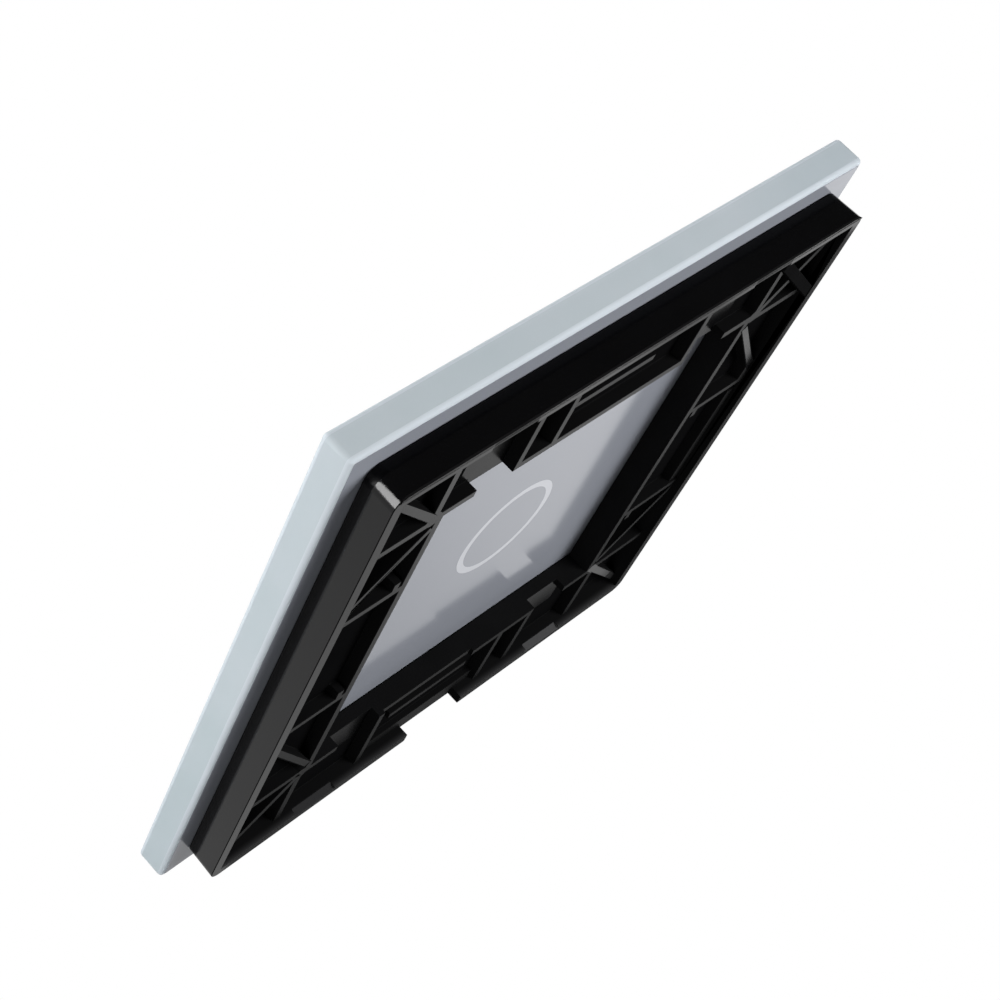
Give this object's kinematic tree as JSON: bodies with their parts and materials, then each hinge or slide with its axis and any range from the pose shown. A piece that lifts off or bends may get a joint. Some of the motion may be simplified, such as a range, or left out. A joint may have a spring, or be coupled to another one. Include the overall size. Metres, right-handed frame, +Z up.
{
  "type": "touch light switch panel",
  "caption": "Square glass face panel of a touch light switch, printed on its back with a round touch ring and taped to a ribbed plastic frame that clips over the switch module.",
  "frame": {"origin": "middle of the module opening, in the plane of the frame's rim, which is the wall", "axes": "-Y out of the wall, the way the glass faces; +Y into the wall; +Z up; +X to the right of someone looking at the glass"},
  "size_m": [0.08, 0.0082, 0.08],
  "materials": {
    "glass": "polished faces, finely ground edges",
    "coat": "fired grey enamel, glossy from behind",
    "ring": "translucent white enamel",
    "frame": "black moulded plastic, satin to gloss",
    "tape": "double-sided tape"
  },
  "bodies": {
    "root": {"glass_panel": "glass", "rear_coat": "coat", "touch_ring": "ring", "rear_frame": "frame", "adhesive_top": "tape", "adhesive_bottom": "tape", "adhesive_left": "tape", "adhesive_right": "tape"}
  },
  "joints": []
}
